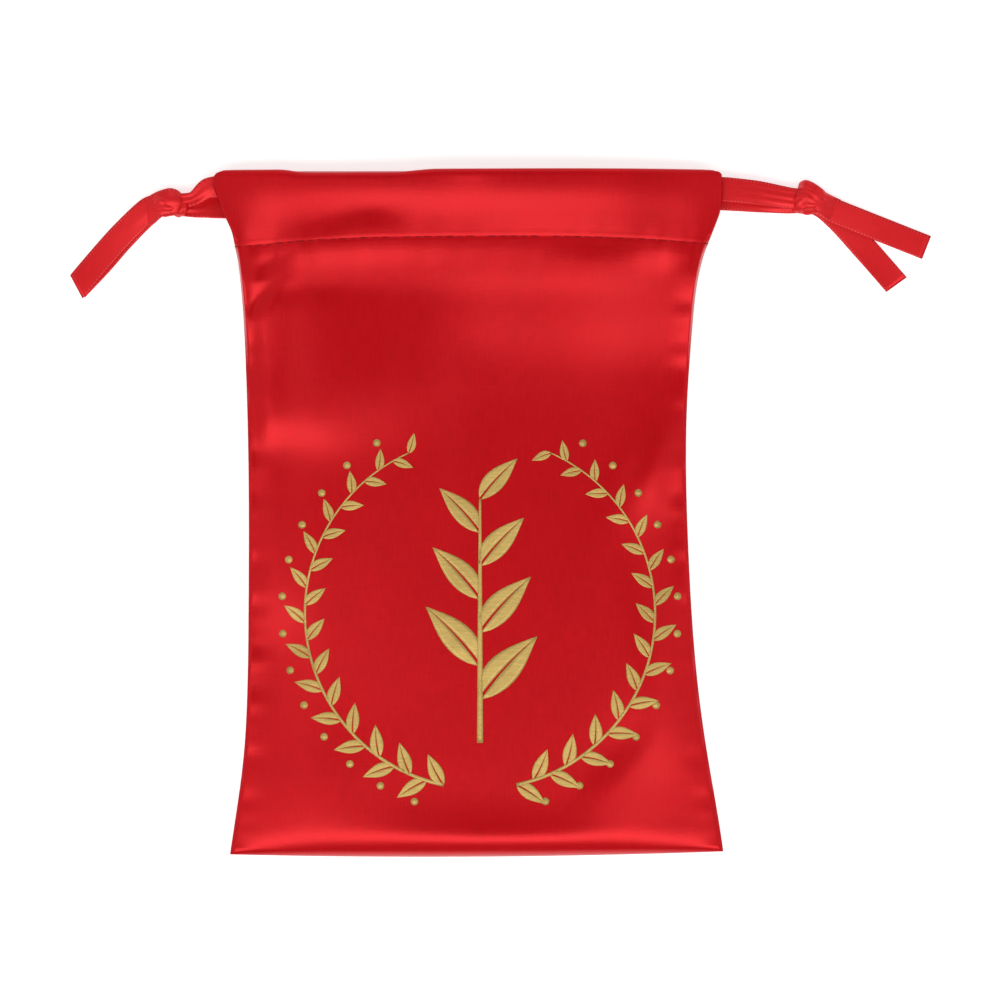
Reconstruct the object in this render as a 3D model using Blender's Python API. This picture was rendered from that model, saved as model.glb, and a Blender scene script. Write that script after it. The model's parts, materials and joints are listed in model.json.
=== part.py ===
"""A kinchaku: a small flat pouch of red satin, closed by two ribbons.

The pouch lies on its back. +X is to its right, +Y towards its mouth, and +Z out of its printed front. The origin is
on the surface that it lies on, under the middle of the bag. Lengths are millimetres until `metres` turns them.
"""

import math
from dataclasses import dataclass

import bmesh
import bpy
from mathutils import Vector

# The bag: one cloth, folded at the bottom, hemmed at both ends and seamed up the sides.
FOLD_Y = -90.0
TOP_Y = 90.0
SEAM_Y = 72.0
CLOTH = 0.5
EDGE_CLOTH = 1.2

# Heights of the lying bag. The belly is the soft middle, where front and back stand furthest apart. The pairs are the
# exponents of the plateau's fall: (1 - share**first) ** second.
BELLY_TOP = 14.0
BELLY_Y = -10.0
FOLD_TOP = 3.4
EDGE_TOP = 2.4
EDGE_LIFT = 0.9
FLAT_SHARE = 0.6
FOLD_ROLL = -8.0
TO_FOLD_FALL = (4.0, 0.6)
TO_SIDE_FALL = (3.2, 0.55)
HEM_FALL = (4.0, 1.0)
HEM_LIFT = 1.0
HEM_MIDDLE = 10.0
HEM_SIDE = 5.3
HEM_REACH = 66.5
HEM_START = 56.0
FLARE_START = 68.0

# Each casing is a flat tube of cloth that its ribbon runs through.
CASING_WALL = 0.4
CASING_ROOM = 1.6
CASING = 2 * CASING_WALL + CASING_ROOM
CASING_LOW_Y = SEAM_Y + 0.8
CASING_HIGH_Y = TOP_Y - 0.7
TURN_ROOM_X = 59.0
OUTSIDE = 80.0

# The ribbons. Both run through both casings, one over the other.
RIBBON_WIDTH = 6.5
RIBBON = 0.35
RIBBON_SPREAD = 0.33
TURN_X = 61.5
TURN_Y = 76.4
TURN_REACH = 2.0
TURN_STEPS = 6
CASING_STEPS = 16
LANE_CHANGE = (0.15, 0.85)
KNOT_ENTRY = (0.0, 0.8, 1.0)

THREAD = 0.3
THREAD_GAP = 0.3
SEAM_END = 7.0
HEM_THREAD_END = 2.0
THREAD_STEPS = 24
CLEAR = 0.02

# Grid lines of the soft surfaces, and how strongly they crowd towards the edges: 0 is even.
BODY_COLUMNS, BODY_ROWS = 24, 28
INNER_COLUMNS, INNER_ROWS = 22, 22
HEM_COLUMNS, HEM_ROWS = 22, 1
TURN_ROOM_GRID = (3, 1)
CROWDED = 0.8
EVEN = 0.0


@dataclass(frozen=True)
class Side:
    """One side edge: narrowest at the waist, wider at the fold, the seam line and the hem."""

    sign: int
    waist: float
    waist_y: float
    at_fold: float
    at_seam: float
    at_hem: float
    hem_y: float

    def x(self, y):
        down = max(self.waist_y - y, 0.0) / (self.waist_y - FOLD_Y)
        up = min(max(y - self.waist_y, 0.0) / (SEAM_Y - self.waist_y), 1.0)
        reach = self.waist + (self.at_fold - self.waist) * down**2 + (self.at_seam - self.waist) * up**2
        return self.sign * (reach + (self.at_hem - self.at_seam) * eased(y, FLARE_START, self.hem_y))


LEFT = Side(sign=-1, waist=58.0, waist_y=-10.0, at_fold=62.8, at_seam=61.2, at_hem=66.7, hem_y=85.0)
RIGHT = Side(sign=1, waist=57.2, waist_y=10.0, at_fold=66.7, at_seam=62.2, at_hem=66.3, hem_y=83.0)


@dataclass(frozen=True)
class Drawstring:
    """One ribbon: its loop through both casings, its knot beside the pouch, and its two tails' routes."""

    name: str
    sign: int
    level: int
    front_y: float
    back_y: float
    knot: tuple
    knot_size: tuple
    tails: tuple


DRAWSTRINGS = (
    Drawstring(
        name="drawstring_left",
        sign=-1,
        level=1,
        front_y=84.9,
        back_y=80.9,
        knot=(-79.5, 81.4, 3.6),
        knot_size=(5.6, 4.3, 3.3),
        tails=(
            ((-80.0, 81.2, 4.6), (-85.0, 78.4, 3.4), (-93.0, 71.6, 1.3), (-103.6, 59.6, 1.2)),
            ((-80.0, 81.0, 2.9), (-85.0, 77.8, 1.6), (-93.4, 70.6, 0.5), (-102.6, 60.2, 0.5)),
        ),
    ),
    Drawstring(
        name="drawstring_right",
        sign=1,
        level=-1,
        front_y=85.2,
        back_y=83.4,
        knot=(89.6, 82.8, 3.7),
        knot_size=(5.8, 4.7, 3.4),
        tails=(
            ((90.0, 82.6, 4.2), (98.0, 79.4, 2.2), (108.0, 75.0, 0.9), (120.7, 70.0, 0.6)),
            ((89.6, 82.0, 3.0), (95.6, 77.8, 1.4), (103.6, 69.6, 0.5), (112.8, 60.1, 0.5)),
        ),
    ),
)

SATIN_RED = (0.60, 0.012, 0.016, 1.0)
RIBBON_RED = (0.52, 0.014, 0.020, 1.0)
THREAD_RED = (0.45, 0.010, 0.016, 1.0)


def metres(*values):
    return Vector(values) / 1000


def mixed(first, second, share):
    return first + (second - first) * share


def eased(value, low, high):
    """0 below low, 1 above high, and a smooth rise between."""
    share = min(max((value - low) / (high - low), 0.0), 1.0)
    return share * share * (3 - 2 * share)


def plateau(share, fall):
    """1 at share 0, and 0 at share 1 and past it."""
    return (1 - min(share, 1.0) ** fall[0]) ** fall[1]


def from_middle(x, y, inset):
    """0 in the middle and 1 on the side edges, or on a line this far inside them."""
    left, right = LEFT.x(y) + inset, RIGHT.x(y) - inset
    return min(abs(2 * x - left - right) / (right - left), 1.0)


def front_height(x, y, inset=0.0):
    """A soft plateau that falls off to the side seams and the fold.

    With no inset it is the front's outer face, and with one it falls off this far inside the edges.
    """
    to_fold = max(BELLY_Y - y, 0.0) / (BELLY_Y - FOLD_Y - inset)
    crown = mixed(FOLD_TOP, BELLY_TOP, plateau(to_fold, TO_FOLD_FALL))
    panel = mixed(EDGE_TOP, crown, plateau(from_middle(x, y, inset), TO_SIDE_FALL))
    hem = HEM_LIFT + mixed(HEM_SIDE, HEM_MIDDLE, plateau(abs(x) / HEM_REACH, HEM_FALL))
    return mixed(panel, hem, eased(y, HEM_START, SEAM_Y - 2))


def back_height(x, y):
    """The outer face of the back panel: flat on the table, lifted at its edges and under the hem's stitches."""
    edge = EDGE_LIFT * eased(from_middle(x, y, 0.0), FLAT_SHARE, 1.0)
    fold = EDGE_LIFT * eased(-y, FOLD_ROLL - FOLD_Y, -FOLD_Y)
    return mixed(max(edge, fold), HEM_LIFT, eased(y, HEM_START, SEAM_Y - 3))


def front_channel(x, y):
    """The middle of the front casing's room."""
    return front_height(x, y) - CASING_WALL - CASING_ROOM / 2


def back_channel(x, y):
    """The middle of the back casing's room."""
    return back_height(x, y) + CASING_WALL + CASING_ROOM / 2


def raised(height, by):
    return lambda x, y: height(x, y) + by


def material(name, colour, roughness):
    made = bpy.data.materials.new(name)
    made.use_nodes = True
    shader = made.node_tree.nodes["Principled BSDF"]
    shader.inputs["Base Color"].default_value = colour
    shader.inputs["Roughness"].default_value = roughness
    shader.inputs["Metallic"].default_value = 0.0
    return made


def new_object(name, mesh, collection):
    """A bmesh turned into an object of this name."""
    bmesh.ops.recalc_face_normals(mesh, faces=mesh.faces[:])
    data = bpy.data.meshes.new(name)
    mesh.to_mesh(data)
    mesh.free()
    made = bpy.data.objects.new(name, data)
    collection.objects.link(made)
    return made


def crowded(share, crowding):
    """A grid line's place from 0 to 1, drawn towards the ends so that steep edges keep their shape."""
    return share - crowding * math.sin(math.tau * share) / math.tau


def slab(name, collection, grid, crowding, span_x, span_y, low, high):
    """A closed block over a grid, between two heights. span_x gives the left and right ends of the row at a y."""
    columns, rows = grid
    mesh = bmesh.new()
    bmesh.ops.create_grid(mesh, x_segments=columns, y_segments=rows, size=0.5)
    floor = mesh.faces[:]
    for vert in mesh.verts:
        y = mixed(*span_y, crowded(vert.co.y + 0.5, crowding))
        x = mixed(*span_x(y), crowded(vert.co.x + 0.5, crowding))
        vert.co = (x, y, low(x, y))
    raised_part = bmesh.ops.extrude_face_region(mesh, geom=floor, use_keep_orig=True)
    for vert in (item for item in raised_part["geom"] if isinstance(item, bmesh.types.BMVert)):
        vert.co.z = high(vert.co.x, vert.co.y)
    for vert in mesh.verts:
        vert.co = metres(*vert.co)
    return new_object(name, mesh, collection)


def cut(target, cutter):
    cutter.hide_render = True
    cutter.display_type = "WIRE"
    boolean = target.modifiers.new(cutter.name, "BOOLEAN")
    boolean.operation = "DIFFERENCE"
    boolean.object = cutter


def satin_bag(parts, cutters):
    """The folded, hemmed and seamed cloth, hollow inside and open at the mouth and at the casings' ends."""
    bag = slab(
        "satin_bag", parts, (BODY_COLUMNS, BODY_ROWS), CROWDED,
        lambda y: (LEFT.x(y), RIGHT.x(y)), (FOLD_Y, TOP_Y), back_height, front_height,
    )
    bag.data.materials.append(material("satin", SATIN_RED, 0.38))
    cut(bag, slab(
        "inside", cutters, (INNER_COLUMNS, INNER_ROWS), CROWDED,
        lambda y: (LEFT.x(y) + EDGE_CLOTH, RIGHT.x(y) - EDGE_CLOTH), (FOLD_Y + EDGE_CLOTH, SEAM_Y),
        raised(back_height, CLOTH), lambda x, y: front_height(x, y, EDGE_CLOTH) - CLOTH,
    ))

    def cut_hem(name, grid, ends, span_y, low, high):
        cut(bag, slab(name, cutters, grid, EVEN, lambda y: ends, span_y, low, high))

    hem_grid = (HEM_COLUMNS, HEM_ROWS)
    whole = (-OUTSIDE, OUTSIDE)
    casing = (CASING_LOW_Y, CASING_HIGH_Y)
    half = CASING_ROOM / 2
    mouth_floor, mouth_roof = raised(back_height, CASING), raised(front_height, -CASING)
    cut_hem("mouth", hem_grid, whole, (SEAM_Y - 2, TOP_Y + 3), mouth_floor, mouth_roof)
    cut_hem("front_casing", hem_grid, whole, casing, raised(front_channel, -half), raised(front_channel, half))
    cut_hem("back_casing", hem_grid, whole, casing, raised(back_channel, -half), raised(back_channel, half))
    turn_floor, turn_roof = raised(back_channel, CLEAR - half), raised(front_channel, half - CLEAR)
    for side, name in ((LEFT, "left_turn_room"), (RIGHT, "right_turn_room")):
        ends = sorted((side.sign * TURN_ROOM_X, side.sign * OUTSIDE))
        cut_hem(name, TURN_ROOM_GRID, ends, casing, turn_floor, turn_roof)
    return bag


def smooth_route(points, steps):
    """Points along a smooth curve through these, with this many steps from each to the next."""
    points = [Vector(point) for point in points]
    ends = [2 * points[0] - points[1], *points, 2 * points[-1] - points[-2]]
    route = []
    for a, b, c, d in zip(ends, ends[1:], ends[2:], ends[3:]):
        for step in range(steps):
            t = step / steps
            route.append(
                (2 * b + (c - a) * t + (2 * a - 5 * b + 4 * c - d) * t**2 + (3 * b - a - 3 * c + d) * t**3) / 2
            )
    return [*route, points[-1]]


def strip(name, collection, route, across=None):
    """A flat ribbon along a route. Its width lies along `across`, or level where none is given."""
    mesh = bmesh.new()
    rings = []
    for index, point in enumerate(route):
        along = (route[min(index + 1, len(route) - 1)] - route[max(index - 1, 0)]).normalized()
        wide = Vector(across) if across else Vector((0, 0, 1)).cross(along)
        wide = (wide - along * wide.dot(along)).normalized() * RIBBON_WIDTH / 2
        thick = along.cross(wide).normalized() * RIBBON / 2
        corners = (point + wide + thick, point - wide + thick, point - wide - thick, point + wide - thick)
        rings.append([mesh.verts.new(metres(*corner)) for corner in corners])
    for first, second in zip(rings, rings[1:]):
        for a, b in ((0, 1), (1, 2), (2, 3), (3, 0)):
            mesh.faces.new((first[a], first[b], second[b], second[a]))
    mesh.faces.new(rings[0])
    mesh.faces.new(rings[-1])
    return new_object(name, mesh, collection)


def loop_route(string):
    """From the knot through the front casing, round the far end, and back through the back casing to the knot."""
    mouth_x = string.sign * (RIGHT.at_hem + 1.0)
    turn_x = -string.sign * TURN_X
    offset = string.level * RIBBON_SPREAD
    front = []
    back = []
    for step in range(CASING_STEPS + 1):
        share = step / CASING_STEPS
        lane = eased(share, *LANE_CHANGE)
        x = mixed(mouth_x, turn_x, share)
        front_y, back_y = mixed(string.front_y, TURN_Y, lane), mixed(string.back_y, TURN_Y, lane)
        front.append(Vector((x, front_y, front_channel(x, front_y) + offset)))
        back.append(Vector((x, back_y, back_channel(x, back_y) - offset)))
    top, bottom = front[-1].z, back[-1].z
    radius = (top - bottom) / 2
    turn = []
    for step in range(1, TURN_STEPS):
        angle = math.pi * step / TURN_STEPS
        reach = min(radius, TURN_REACH) * math.sin(angle)
        turn.append(Vector((turn_x - string.sign * reach, TURN_Y, bottom + radius * (1 + math.cos(angle)))))
    knot, entry = Vector(string.knot), Vector(KNOT_ENTRY)
    lead_in = smooth_route((knot + entry, mixed(knot, front[0], 0.6), front[0]), 3)[:-1]
    lead_out = smooth_route((back[0], mixed(back[0], knot, 0.4), knot - entry), 3)[1:]
    return [*lead_in, *front, *turn, *reversed(back), *lead_out]


def join(target, other):
    union = target.modifiers.new(other.name, "BOOLEAN")
    union.operation = "UNION"
    union.object = other
    other.hide_render = True
    other.display_type = "WIRE"


def knot_lump(string, collection):
    """The ribbon's knot, as the lump that its wraps make."""
    mesh = bmesh.new()
    bmesh.ops.create_uvsphere(mesh, u_segments=14, v_segments=9, radius=1.0)
    for vert in mesh.verts:
        vert.co = metres(*(Vector(string.knot) + vert.co * Vector(string.knot_size)))
    return new_object(f"{string.name}_knot", mesh, collection)


def drawstring(string, parts, helpers):
    """One ribbon in one piece: loop, knot and tails."""
    made = strip(string.name, parts, loop_route(string), across=(0, 1, 0))
    made.data.materials.append(material(f"{string.name}_satin", RIBBON_RED, 0.45))
    join(made, knot_lump(string, helpers))
    for number, tail in enumerate(string.tails):
        join(made, strip(f"{string.name}_tail_{number}", helpers, smooth_route(tail, 4)))
    return made


def thread(name, collection, route):
    """A sewing thread: a round line along a route."""
    curve = bpy.data.curves.new(name, "CURVE")
    curve.dimensions = "3D"
    curve.bevel_depth = THREAD / 2000
    curve.bevel_resolution = 1
    curve.use_fill_caps = True
    spline = curve.splines.new("POLY")
    spline.points.add(len(route) - 1)
    for point, place in zip(spline.points, route):
        point.co = (*metres(*place), 1.0)
    made = bpy.data.objects.new(name, curve)
    made.data.materials.append(material(f"{name}_red", THREAD_RED, 0.6))
    collection.objects.link(made)
    return made


def threads(parts):
    """The stitch line that closes each casing, and the seam up each side."""
    off = THREAD / 2 + THREAD_GAP
    steps = [step / THREAD_STEPS for step in range(THREAD_STEPS + 1)]
    for name, height, gap in (("hem_thread_front", front_height, off), ("hem_thread_back", back_height, -off)):
        ends = LEFT.x(SEAM_Y) + HEM_THREAD_END, RIGHT.x(SEAM_Y) - HEM_THREAD_END
        xs = [mixed(*ends, step) for step in steps]
        thread(name, parts, [(x, SEAM_Y, height(x, SEAM_Y) + gap) for x in xs])
    for side, name in ((LEFT, "left"), (RIGHT, "right")):
        route = []
        for step in steps:
            y = mixed(FOLD_Y + SEAM_END, SEAM_Y - SEAM_END, step)
            x = side.x(y) - side.sign * (EDGE_CLOTH + 2 * off)
            route.append((x, y, mixed(back_height(x, y), front_height(x, y, EDGE_CLOTH), 0.5)))
        thread(f"side_seam_thread_{name}", parts, route)


def main():
    for old in list(bpy.data.objects):
        bpy.data.objects.remove(old)
    parts = bpy.data.collections.new("kinchaku_pouch")
    helpers = bpy.data.collections.new("cutters")
    for collection in (parts, helpers):
        bpy.context.scene.collection.children.link(collection)
    satin_bag(parts, helpers)
    for string in DRAWSTRINGS:
        drawstring(string, parts, helpers)
    threads(parts)


main()
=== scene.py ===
"""The looks of a red satin kinchaku: a small drawstring pouch lying on its back, printed front up.

Sizes are in millimetres, in the frame's own axes, and `metres` turns them on the way into a mesh.
+X is to the pouch's right, +Y towards its mouth and +Z out of its printed front.
"""

import json
import logging
import math
from dataclasses import dataclass, field
from enum import Enum
from typing import Callable, Sequence

import bmesh
import bpy
import numpy as np
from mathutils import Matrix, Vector
from mathutils.bvhtree import BVHTree

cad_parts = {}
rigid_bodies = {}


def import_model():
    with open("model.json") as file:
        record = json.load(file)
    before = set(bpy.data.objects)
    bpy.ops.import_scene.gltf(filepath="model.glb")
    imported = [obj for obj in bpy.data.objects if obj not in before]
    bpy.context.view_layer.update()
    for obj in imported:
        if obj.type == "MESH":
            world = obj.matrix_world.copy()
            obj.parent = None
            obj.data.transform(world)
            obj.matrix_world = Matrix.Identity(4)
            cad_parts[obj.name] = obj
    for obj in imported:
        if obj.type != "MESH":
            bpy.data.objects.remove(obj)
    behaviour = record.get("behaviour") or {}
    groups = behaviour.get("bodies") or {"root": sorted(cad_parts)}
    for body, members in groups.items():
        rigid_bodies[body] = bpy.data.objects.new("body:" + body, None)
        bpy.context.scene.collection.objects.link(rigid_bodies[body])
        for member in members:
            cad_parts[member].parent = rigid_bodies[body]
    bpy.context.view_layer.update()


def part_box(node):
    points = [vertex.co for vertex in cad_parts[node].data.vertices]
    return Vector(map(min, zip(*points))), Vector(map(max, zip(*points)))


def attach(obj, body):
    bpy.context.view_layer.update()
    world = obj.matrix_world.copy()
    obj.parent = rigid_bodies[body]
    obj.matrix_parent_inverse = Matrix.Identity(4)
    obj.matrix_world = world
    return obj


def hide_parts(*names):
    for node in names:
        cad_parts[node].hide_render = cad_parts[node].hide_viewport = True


log = logging.getLogger("kinchaku")

BODY = "root"
CLOTH = 0.24
RIBBON_WIDTH = 6.5
UP = (0.0, 0.0, 1.0)

Array = np.ndarray
Colour = tuple[float, float, float, float]
Scale = tuple[float, float, float]


class Slot(Enum):
    """The record's material slots."""

    SATIN = "red_satin"
    RIBBON = "red_ribbon"
    THREAD = "red_thread"
    GOLD = "gold_print"


# --------------------------------------------------------------------------------------------------
# Small maths
# --------------------------------------------------------------------------------------------------


def metres(points: Array) -> Array:
    """Millimetres turned to metres."""
    return np.asarray(points, float) / 1000.0


def mixed(first: Array, second: Array, share: Array) -> Array:
    """From the first value at share 0 to the second at share 1."""
    return first + (second - first) * share


def eased(value: Array, low: float, high: float) -> Array:
    """0 below low, 1 above high, and a smooth rise between."""
    share = np.clip((np.asarray(value, float) - low) / (high - low), 0.0, 1.0)
    return share * share * (3 - 2 * share)


def bump(value: Array, centre: float, half: float) -> Array:
    """A smooth hill of height 1 around the centre."""
    return np.exp(-(((np.asarray(value, float) - centre) / half) ** 2))


def spline(knots: Sequence[float], values: Sequence[float], at: Array) -> Array:
    """A natural cubic spline.

    Args:
        knots: Rising places of the knots.
        values: The curve's values there.
        at: Where to read the curve.

    Returns:
        The curve's values at those places, level past its ends.
    """
    t, v, at = np.asarray(knots, float), np.asarray(values, float), np.asarray(at, float)
    gap, count = np.diff(t), len(t)
    system, right = np.eye(count), np.zeros(count)
    for i in range(1, count - 1):
        system[i, i - 1 : i + 2] = gap[i - 1], 2 * (gap[i - 1] + gap[i]), gap[i]
        right[i] = 6 * ((v[i + 1] - v[i]) / gap[i] - (v[i] - v[i - 1]) / gap[i - 1])
    bend = np.linalg.solve(system, right)
    inside = np.clip(at, t[0], t[-1])
    i = np.clip(np.searchsorted(t, inside) - 1, 0, count - 2)
    a, b = (t[i + 1] - inside) / gap[i], (inside - t[i]) / gap[i]
    return a * v[i] + b * v[i + 1] + ((a**3 - a) * bend[i] + (b**3 - b) * bend[i + 1]) * gap[i] ** 2 / 6


def smooth_route(points: Sequence[Sequence[float]], steps: int) -> Array:
    """Points along a smooth curve through these.

    Args:
        points: The route's own points.
        steps: How many steps there are from each to the next.

    Returns:
        The curve's points, one to a row.
    """
    own = np.asarray(points, float)
    ends = np.vstack([2 * own[0] - own[1], own, 2 * own[-1] - own[-2]])
    route = []
    for a, b, c, d in zip(ends, ends[1:], ends[2:], ends[3:]):
        for t in np.arange(steps) / steps:
            square, cube = (2 * a - 5 * b + 4 * c - d) * t**2, (3 * b - a - 3 * c + d) * t**3
            route.append((2 * b + (c - a) * t + square + cube) / 2)
    return np.array([*route, own[-1]])


def route_length(route: Array) -> float:
    """The length along a route's points."""
    return float(np.linalg.norm(np.diff(route, axis=0), axis=1).sum())


# --------------------------------------------------------------------------------------------------
# Node trees
# --------------------------------------------------------------------------------------------------


class Tree:
    """A shader or Geometry Nodes tree that is built node by node."""

    def __init__(self, tree: bpy.types.NodeTree) -> None:
        """Starts on an empty tree."""
        self.tree = tree
        self.tree.nodes.clear()

    def node(self, kind: str, settings: dict | None = None, sockets: dict | None = None) -> bpy.types.Node:
        """Makes one node.

        Args:
            kind: The node's type.
            settings: Its own settings, set first. `stops` are a ramp's places and colours.
            sockets: Values, or sockets to link, by the input's name or number.

        Returns:
            The node.
        """
        made = self.tree.nodes.new(kind)
        for name, value in (settings or {}).items():
            if name == "stops":
                ramp = made.color_ramp
                while len(ramp.elements) < len(value):
                    ramp.elements.new(1.0)
                for element, (place, colour) in zip(ramp.elements, value):
                    element.position, element.color = place, (*colour, 1.0)
            else:
                setattr(made, name, value)
        for name, value in (sockets or {}).items():
            self.feed(made.inputs[name], value)
        return made

    def feed(self, socket: bpy.types.NodeSocket, value: object) -> None:
        """Links a socket, or sets its value.

        Args:
            socket: The input to feed.
            value: A plain value, or a Signal or a socket to link.
        """
        if isinstance(value, Signal):
            value = value.socket
        if isinstance(value, bpy.types.NodeSocket):
            self.tree.links.new(value, socket)
        else:
            socket.default_value = value

    def signal(self, socket: bpy.types.NodeSocket) -> "Signal":
        """A socket that Python's operators work on."""
        return Signal(self, socket)

    def split(self, vector: bpy.types.NodeSocket) -> tuple["Signal", "Signal"]:
        """The X and the Y of a vector."""
        parts = self.node("ShaderNodeSeparateXYZ", None, {0: vector}).outputs
        return self.signal(parts[0]), self.signal(parts[1])

    def vector(self, x: object = 0.0, y: object = 0.0, z: object = 0.0) -> bpy.types.NodeSocket:
        """A vector from its three parts."""
        return self.node("ShaderNodeCombineXYZ", None, {0: x, 1: y, 2: z}).outputs[0]


@dataclass(frozen=True)
class Signal:
    """A number inside a tree. Arithmetic on it adds Math nodes."""

    tree: Tree
    socket: bpy.types.NodeSocket

    def maths(self, operation: str, *others: object, clamp: bool = False) -> "Signal":
        """One Math node with this number as its first input.

        Args:
            operation: What the node does.
            others: Its other inputs, in order.
            clamp: Whether the answer is held between 0 and 1.

        Returns:
            The node's answer.
        """
        settings = {"operation": operation, "use_clamp": clamp}
        inputs = dict(enumerate((self.socket, *others)))
        return Signal(self.tree, self.tree.node("ShaderNodeMath", settings, inputs).outputs[0])

    def __add__(self, other: object) -> "Signal":
        """This plus the other."""
        return self.maths("ADD", other)

    __radd__ = __add__

    def __mul__(self, other: object) -> "Signal":
        """This times the other."""
        return self.maths("MULTIPLY", other)

    __rmul__ = __mul__

    def __sub__(self, other: object) -> "Signal":
        """This less the other."""
        return self.maths("SUBTRACT", other)

    def __rsub__(self, other: object) -> "Signal":
        """The other less this."""
        return self.maths("MULTIPLY_ADD", -1.0, other)

    def __pow__(self, other: object) -> "Signal":
        """This to the power of the other."""
        return self.maths("POWER", other)

    def clamped(self) -> "Signal":
        """This held between 0 and 1."""
        return self.maths("ADD", 0.0, clamp=True)

    def sine(self) -> "Signal":
        """The sine of this."""
        return self.maths("SINE")

    def size(self) -> "Signal":
        """This without its sign."""
        return self.maths("ABSOLUTE")


class Finish(Tree):
    """A material, as a tree with a Principled shader in it."""

    def __init__(self, name: str) -> None:
        """Starts a material of this name."""
        self.material = bpy.data.materials.new(name)
        self.material.use_nodes = True
        super().__init__(self.material.node_tree)
        self.shader = self.node("ShaderNodeBsdfPrincipled")
        output = self.node("ShaderNodeOutputMaterial")
        self.tree.links.new(self.shader.outputs[0], output.inputs[0])

    def shade(self, **sockets: object) -> None:
        """Feeds the shader's sockets, named with underscores for spaces."""
        for name, value in sockets.items():
            self.feed(self.shader.inputs[name.replace("_", " ")], value)

    def place(self, source: str, scale: Scale = (1.0, 1.0, 1.0)) -> bpy.types.NodeSocket:
        """Coordinates to draw a pattern on.

        Args:
            source: `Object`, or `UV` for the piece's own map.
            scale: How many pattern units fit in a metre, along each axis.

        Returns:
            The scaled coordinates.
        """
        where = self.node("ShaderNodeTexCoord").outputs[source]
        return self.node("ShaderNodeMapping", None, {"Vector": where, "Scale": scale}).outputs[0]

    def noise(self, where: bpy.types.NodeSocket, detail: float = 2.0, roughness: float = 0.5) -> Signal:
        """Soft noise around 0.5."""
        sockets = {"Vector": where, "Scale": 1.0, "Detail": detail, "Roughness": roughness}
        return self.signal(self.node("ShaderNodeTexNoise", None, sockets).outputs[0])

    def blend(self, share: object, first: object, second: object) -> bpy.types.NodeSocket:
        """A mix of two colours.

        Args:
            share: How far the mix has gone from the first colour (0) to the second (1).
            first: The first colour.
            second: The second colour.

        Returns:
            The mixed colour.
        """
        made = self.node("ShaderNodeMix", {"data_type": "RGBA"})
        self.feed(made.inputs[0], share)
        self.feed(made.inputs[6], first)
        self.feed(made.inputs[7], second)
        return made.outputs[2]

    def relief(self, height: Signal, distance: float) -> bpy.types.NodeSocket:
        """A Bump node's normal, from a height between 0 and 1 and its depth in metres."""
        sockets = {"Height": height, "Distance": distance, "Strength": 1.0}
        return self.node("ShaderNodeBump", None, sockets).outputs[0]


@dataclass(frozen=True)
class SatinFinish:
    """Woven polyester satin: long floats that shine in the cloth's own colour.

    The warp, the weft and the slub are noise patterns, so many to a metre across and along the cloth.
    """

    name: str
    light: Colour
    deep: Colour
    roughness: float
    gloss: float
    metallic: float = 0.34
    unevenness: float = 0.12
    warp: Scale = (2400.0, 192.0, 1.0)
    weft: Scale = (240.0, 1920.0, 1.0)
    slub: Scale = (60.0, 60.0, 1.0)
    weave_depth: float = 0.00003

    def weave(self, finish: Finish) -> tuple[Signal, Signal]:
        """The fine crossing threads, and the broad unevenness of the cloth.

        Args:
            finish: The material being built.

        Returns:
            The thread pattern and the broad pattern, each around 0.5.
        """
        warp = finish.noise(finish.place("UV", self.warp), 1.0)
        weft = finish.noise(finish.place("UV", self.weft), 1.0)
        return warp * 0.6 + weft * 0.4, finish.noise(finish.place("UV", self.slub), 3.0)

    def base(self, finish: Finish) -> tuple[Signal, bpy.types.NodeSocket]:
        """The cloth's own looks.

        Args:
            finish: The material being built.

        Returns:
            The thread pattern, and the colour that it gives.
        """
        threads, broad = self.weave(finish)
        share = (threads * 0.9 + broad * 0.5 - 0.2).clamped()
        return threads, finish.blend(share, self.deep, self.light)

    def build(self) -> bpy.types.Material:
        """Makes the cloth's material.

        Returns:
            The material.
        """
        finish = Finish(self.name)
        threads, colour = self.base(finish)
        self.dress(finish, colour, threads)
        return finish.material

    def dress(self, finish: Finish, colour: bpy.types.NodeSocket, height: Signal) -> None:
        """Feeds the shader.

        Args:
            finish: The material being built.
            colour: The surface's colour.
            height: The threads' height, from 0 to 1. It also makes them more or less rough.
        """
        finish.shade(
            Base_Color=colour,
            Metallic=self.metallic,
            Roughness=height * self.unevenness + (self.roughness - self.unevenness / 2),
            Specular_IOR_Level=self.gloss,
            Normal=finish.relief(height, self.weave_depth),
        )


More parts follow.
